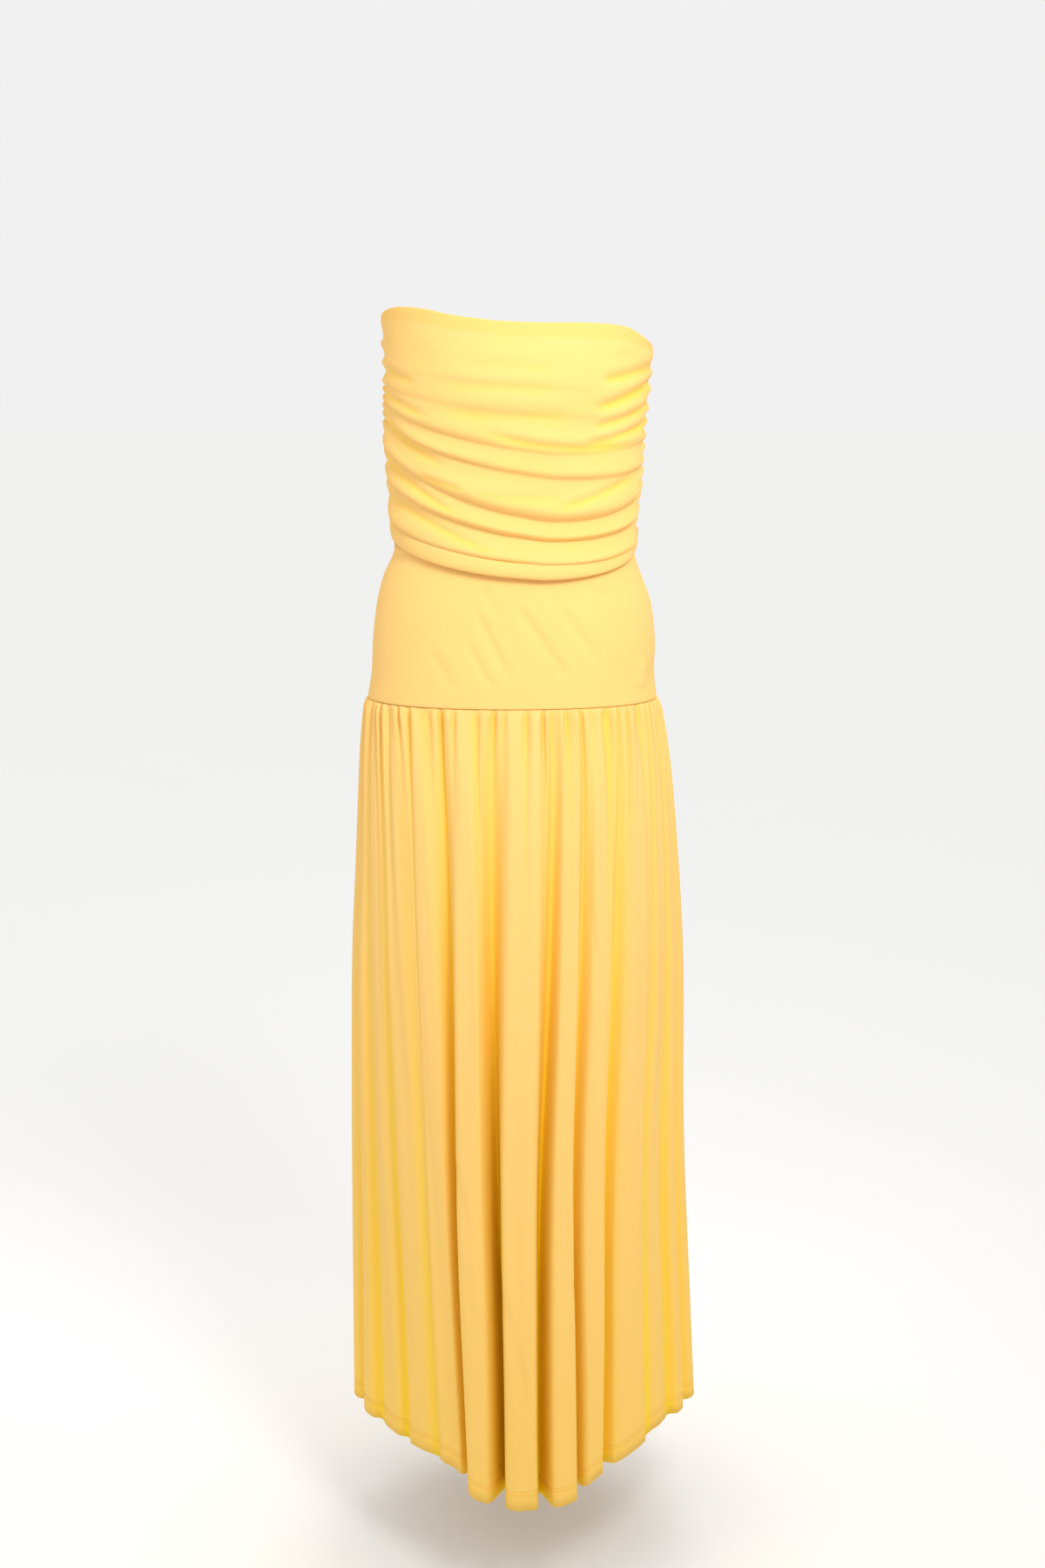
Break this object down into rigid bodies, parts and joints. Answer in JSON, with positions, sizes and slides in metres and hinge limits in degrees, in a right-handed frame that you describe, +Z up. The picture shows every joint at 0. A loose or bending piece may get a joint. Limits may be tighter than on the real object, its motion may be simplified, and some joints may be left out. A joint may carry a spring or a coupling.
{
  "type": "maxi dress",
  "caption": "Long strapless jersey dress in its hollow worn form: a ruched bodice blouses over a fitted hip yoke, above a gathered skirt that falls in organ-pipe folds.",
  "frame": {"origin": "on the dress's upright axis, level with the middle of the front's top edge, where the wearer holds it up", "axes": "the front faces -Y, +X is on the right of someone facing the front, +Z is up"},
  "size_m": [0.4026, 0.4658, 1.2887],
  "materials": {
    "jersey": "matte fine knit, pale sunny yellow"
  },
  "bodies": {
    "root": {"bodice_front": "jersey", "bodice_back": "jersey", "yoke_front": "jersey", "yoke_back": "jersey", "skirt_front": "jersey", "skirt_back": "jersey"}
  },
  "joints": []
}
